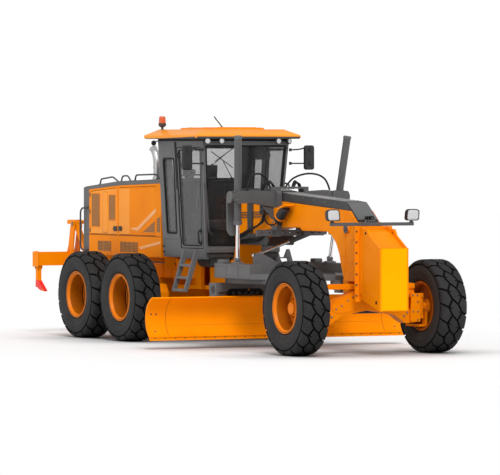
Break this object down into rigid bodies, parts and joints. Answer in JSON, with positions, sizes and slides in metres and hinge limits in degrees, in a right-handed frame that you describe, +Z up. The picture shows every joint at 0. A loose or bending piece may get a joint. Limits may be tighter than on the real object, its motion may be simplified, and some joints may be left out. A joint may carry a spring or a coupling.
{
  "type": "motor grader",
  "caption": "Articulated motor grader with tandem drive wheels, leaning front wheels, circle-mounted blade, push block and raised rear ripper.",
  "frame": {"origin": "on the ground, under the middle of the machine's length and width", "axes": "+X forward, +Y to the left of the driver, +Z up"},
  "size_m": [9.727, 4.27, 3.4398],
  "materials": {
    "orange_paint": "satin",
    "push_block_paint": "satin",
    "grey_paint": "satin",
    "rim_paint": "satin",
    "rubber_tyre": "matt",
    "chrome": "polished",
    "cab_glass": "clear",
    "black_plastic": "matt",
    "engine_iron": "rough",
    "wear_steel": "worn",
    "hose_rubber": "matt",
    "seat_cloth": "woven"
  },
  "bodies": {
    "front_body": {"front_frame": "orange_paint", "frame_cover": "grey_paint", "front_counterweight": "push_block_paint", "work_lights": "black_plastic", "front_axle": "orange_paint", "blade_saddle": "grey_paint", "cab_frame": "grey_paint", "cab_roof": "orange_paint", "cab_glass": "cab_glass", "operator_station": "seat_cloth", "cab_mirrors": "black_plastic", "cab_steps": "grey_paint", "lift_hoses": "hose_rubber"},
    "rear_body": {"rear_frame": "orange_paint", "tandem_cases": "orange_paint", "engine_block": "engine_iron", "engine_hood": "orange_paint", "hood_cowl": "grey_paint", "exhaust_stack": "chrome"},
    "cab_door_left": {"cab_door_left": "grey_paint"},
    "lean_left": {"lean_bracket_left": "orange_paint"},
    "knuckle_left": {"steering_knuckle_left": "orange_paint"},
    "front_wheel_left": {"front_tyre_left": "rubber_tyre", "front_rim_left": "rim_paint"},
    "lift_barrel_left": {"lift_barrel_left": "grey_paint"},
    "lift_rod_left": {"lift_rod_left": "chrome"},
    "hood_door_front_left": {"hood_door_front_left": "orange_paint"},
    "tandem_wheel_front_left": {"tandem_front_tyre_left": "rubber_tyre", "tandem_front_rim_left": "rim_paint"},
    "hood_door_rear_left": {"hood_door_rear_left": "orange_paint"},
    "tandem_wheel_rear_left": {"tandem_rear_tyre_left": "rubber_tyre", "tandem_rear_rim_left": "rim_paint"},
    "cab_door_right": {"cab_door_right": "grey_paint"},
    "lean_right": {"lean_bracket_right": "orange_paint"},
    "knuckle_right": {"steering_knuckle_right": "orange_paint"},
    "front_wheel_right": {"front_tyre_right": "rubber_tyre", "front_rim_right": "rim_paint"},
    "lift_barrel_right": {"lift_barrel_right": "grey_paint"},
    "lift_rod_right": {"lift_rod_right": "chrome"},
    "hood_door_front_right": {"hood_door_front_right": "orange_paint"},
    "tandem_wheel_front_right": {"tandem_front_tyre_right": "rubber_tyre", "tandem_front_rim_right": "rim_paint"},
    "hood_door_rear_right": {"hood_door_rear_right": "orange_paint"},
    "tandem_wheel_rear_right": {"tandem_rear_tyre_right": "rubber_tyre", "tandem_rear_rim_right": "rim_paint"},
    "lean_bar": {"lean_bar": "orange_paint"},
    "tie_rod": {"tie_rod": "chrome"},
    "drawbar_ball": {"drawbar_ball": "chrome"},
    "drawbar": {"drawbar": "grey_paint"},
    "circle": {"blade_circle": "grey_paint"},
    "tilt": {"tilt_brackets": "grey_paint"},
    "moldboard": {"moldboard": "orange_paint", "cutting_edge": "wear_steel"},
    "shift_barrel": {"shift_barrel": "grey_paint"},
    "shift_rod": {"shift_rod": "chrome"},
    "ripper_lower_links": {"ripper_lower_links": "orange_paint"},
    "ripper_upper_links": {"ripper_upper_links": "orange_paint"},
    "ripper_frame": {"ripper_frame": "orange_paint"},
    "ripper_barrel": {"ripper_barrel": "grey_paint"},
    "ripper_rod": {"ripper_rod": "chrome"}
  },
  "joints": [
    {"name": "articulation", "type": "hinge", "parent": "front_body", "child": "rear_body", "pos_m": [-0.5435, 0, 1.02], "axis": [0, 0, 1], "range_deg": [-22, 22]},
    {"name": "lean_left", "type": "hinge", "parent": "front_body", "child": "lean_left", "pos_m": [4.0065, 0.74, 0.5], "axis": [1, 0, 0], "range_deg": [-18, 18]},
    {"name": "lean_right", "type": "hinge", "parent": "front_body", "child": "lean_right", "pos_m": [4.0065, -0.74, 0.5], "axis": [1, 0, 0], "range_deg": [-18, 18]},
    {"name": "lean_bar_slide", "type": "slide", "parent": "front_body", "child": "lean_bar", "axis": [0, 1, 0], "range_m": [-0.15, 0.15]},
    {"name": "steer_left", "type": "hinge", "parent": "lean_left", "child": "knuckle_left", "pos_m": [4.0065, 0.915, 0.674], "axis": [0, 0, 1], "range_deg": [-45, 45]},
    {"name": "steer_right", "type": "hinge", "parent": "lean_right", "child": "knuckle_right", "pos_m": [4.0065, -0.915, 0.674], "axis": [0, 0, 1], "range_deg": [-45, 45]},
    {"name": "tie_rod_slide", "type": "slide", "parent": "front_body", "child": "tie_rod", "axis": [0, 1, 0], "range_m": [-0.2, 0.2]},
    {"name": "front_wheel_left_spin", "type": "hinge", "parent": "knuckle_left", "child": "front_wheel_left", "pos_m": [4.0065, 1.11, 0.674], "axis": [0, 1, 0], "continuous": true},
    {"name": "tandem_wheel_front_left_spin", "type": "hinge", "parent": "rear_body", "child": "tandem_wheel_front_left", "pos_m": [-1.3735, 1.11, 0.674], "axis": [0, 1, 0], "continuous": true},
    {"name": "tandem_wheel_rear_left_spin", "type": "hinge", "parent": "rear_body", "child": "tandem_wheel_rear_left", "pos_m": [-2.9135, 1.11, 0.674], "axis": [0, 1, 0], "continuous": true},
    {"name": "cab_door_left_hinge", "type": "hinge", "parent": "front_body", "child": "cab_door_left", "pos_m": [-0.4355, 0.806, 2.2], "axis": [0, 0, 1], "range_deg": [0, 80]},
    {"name": "hood_door_rear_left_hinge", "type": "hinge", "parent": "rear_body", "child": "hood_door_rear_left", "pos_m": [-3.8805, 0.602, 1.9], "axis": [0, 0, 1], "range_deg": [0, 90]},
    {"name": "hood_door_front_left_hinge", "type": "hinge", "parent": "rear_body", "child": "hood_door_front_left", "pos_m": [-1.5265, 0.602, 1.9], "axis": [0, 0, -1], "range_deg": [0, 90]},
    {"name": "front_wheel_right_spin", "type": "hinge", "parent": "knuckle_right", "child": "front_wheel_right", "pos_m": [4.0065, -1.11, 0.674], "axis": [0, 1, 0], "continuous": true},
    {"name": "tandem_wheel_front_right_spin", "type": "hinge", "parent": "rear_body", "child": "tandem_wheel_front_right", "pos_m": [-1.3735, -1.11, 0.674], "axis": [0, 1, 0], "continuous": true},
    {"name": "tandem_wheel_rear_right_spin", "type": "hinge", "parent": "rear_body", "child": "tandem_wheel_rear_right", "pos_m": [-2.9135, -1.11, 0.674], "axis": [0, 1, 0], "continuous": true},
    {"name": "cab_door_right_hinge", "type": "hinge", "parent": "front_body", "child": "cab_door_right", "pos_m": [-0.4355, -0.806, 2.2], "axis": [0, 0, -1], "range_deg": [0, 80]},
    {"name": "hood_door_rear_right_hinge", "type": "hinge", "parent": "rear_body", "child": "hood_door_rear_right", "pos_m": [-3.8805, -0.602, 1.9], "axis": [0, 0, -1], "range_deg": [0, 90]},
    {"name": "hood_door_front_right_hinge", "type": "hinge", "parent": "rear_body", "child": "hood_door_front_right", "pos_m": [-1.5265, -0.602, 1.9], "axis": [0, 0, 1], "range_deg": [0, 90]},
    {"name": "drawbar_pitch", "type": "hinge", "parent": "front_body", "child": "drawbar_ball", "pos_m": [3.4065, 0, 0.95], "axis": [0, 1, 0], "range_deg": [-16, 8]},
    {"name": "drawbar_swing", "type": "hinge", "parent": "drawbar_ball", "child": "drawbar", "pos_m": [3.4065, 0, 0.95], "axis": [0, 0, 1], "range_deg": [-8, 8]},
    {"name": "circle_turn", "type": "hinge", "parent": "drawbar", "child": "circle", "pos_m": [1.2565, 0, 0.985], "axis": [0, 0, 1], "continuous": true},
    {"name": "blade_tip", "type": "hinge", "parent": "circle", "child": "tilt", "pos_m": [1.1015, 0, 0.3], "axis": [0, 1, 0], "range_deg": [-5, 40]},
    {"name": "blade_side_shift", "type": "slide", "parent": "tilt", "child": "moldboard", "axis": [0, -1, 0], "range_m": [-0.55, 0.55]},
    {"name": "lift_barrel_left_swing", "type": "hinge", "parent": "front_body", "child": "lift_barrel_left", "pos_m": [1.6868, 0.8444, 2.227], "axis": [1, 0, 0], "range_deg": [-16, 16]},
    {"name": "lift_rod_left_slide", "type": "slide", "parent": "lift_barrel_left", "child": "lift_rod_left", "axis": [-0.154, -0.0751, -0.9852], "range_m": [-0.27, 0.53]},
    {"name": "lift_barrel_right_swing", "type": "hinge", "parent": "front_body", "child": "lift_barrel_right", "pos_m": [1.6868, -0.8444, 2.227], "axis": [1, 0, 0], "range_deg": [-16, 16]},
    {"name": "lift_rod_right_slide", "type": "slide", "parent": "lift_barrel_right", "child": "lift_rod_right", "axis": [-0.154, 0.0751, -0.9852], "range_m": [-0.27, 0.53]},
    {"name": "shift_barrel_swing", "type": "hinge", "parent": "front_body", "child": "shift_barrel", "pos_m": [1.4765, 0.62, 1.74], "axis": [1, 0, 0], "range_deg": [-12, 22]},
    {"name": "shift_rod_slide", "type": "slide", "parent": "shift_barrel", "child": "shift_rod", "axis": [0, -0.9423, -0.3347], "range_m": [-0.25, 0.25]},
    {"name": "ripper_lift", "type": "hinge", "parent": "rear_body", "child": "ripper_lower_links", "pos_m": [-4.2035, 0, 0.62], "axis": [0, 1, 0], "range_deg": [-90, 0]},
    {"name": "ripper_upper_link_swing", "type": "hinge", "parent": "rear_body", "child": "ripper_upper_links", "pos_m": [-4.2035, 0, 1.27], "axis": [0, 1, 0], "range_deg": [-90, 0]},
    {"name": "ripper_frame_swing", "type": "hinge", "parent": "ripper_lower_links", "child": "ripper_frame", "pos_m": [-4.6035, 0, 1.095], "axis": [0, 1, 0], "range_deg": [0, 90]},
    {"name": "ripper_barrel_swing", "type": "hinge", "parent": "rear_body", "child": "ripper_barrel", "pos_m": [-4.2035, 0, 1], "axis": [0, 1, 0], "range_deg": [-71, 1]},
    {"name": "ripper_rod_slide", "type": "slide", "parent": "ripper_barrel", "child": "ripper_rod", "axis": [-0.5161, 0, 0.8565], "range_m": [-0.37, 0.01]}
  ],
  "couplings": [
    {"joint": "lean_right", "follows": "lean_left", "ratio": 1},
    {"joint": "lean_bar_slide", "follows": "lean_left", "m_per_rad": -0.47},
    {"joint": "steer_right", "follows": "steer_left", "ratio": 1},
    {"joint": "tie_rod_slide", "follows": "steer_left", "m_per_rad": -0.248},
    {"joint": "lift_barrel_left_swing", "follows": "drawbar_swing", "ratio": -1.85},
    {"joint": "lift_rod_left_slide", "follows": "drawbar_pitch", "m_per_rad": -1.876},
    {"joint": "lift_barrel_right_swing", "follows": "drawbar_swing", "ratio": -1.85},
    {"joint": "lift_rod_right_slide", "follows": "drawbar_pitch", "m_per_rad": -1.876},
    {"joint": "shift_barrel_swing", "follows": "drawbar_pitch", "ratio": -1.3},
    {"joint": "shift_rod_slide", "follows": "drawbar_swing", "m_per_rad": 1.716},
    {"joint": "ripper_upper_link_swing", "follows": "ripper_lift", "ratio": 1},
    {"joint": "ripper_frame_swing", "follows": "ripper_lift", "ratio": -1},
    {"joint": "ripper_barrel_swing", "follows": "ripper_lift", "ratio": 0.771},
    {"joint": "ripper_rod_slide", "follows": "ripper_lift", "m_per_rad": 0.2305}
  ]
}
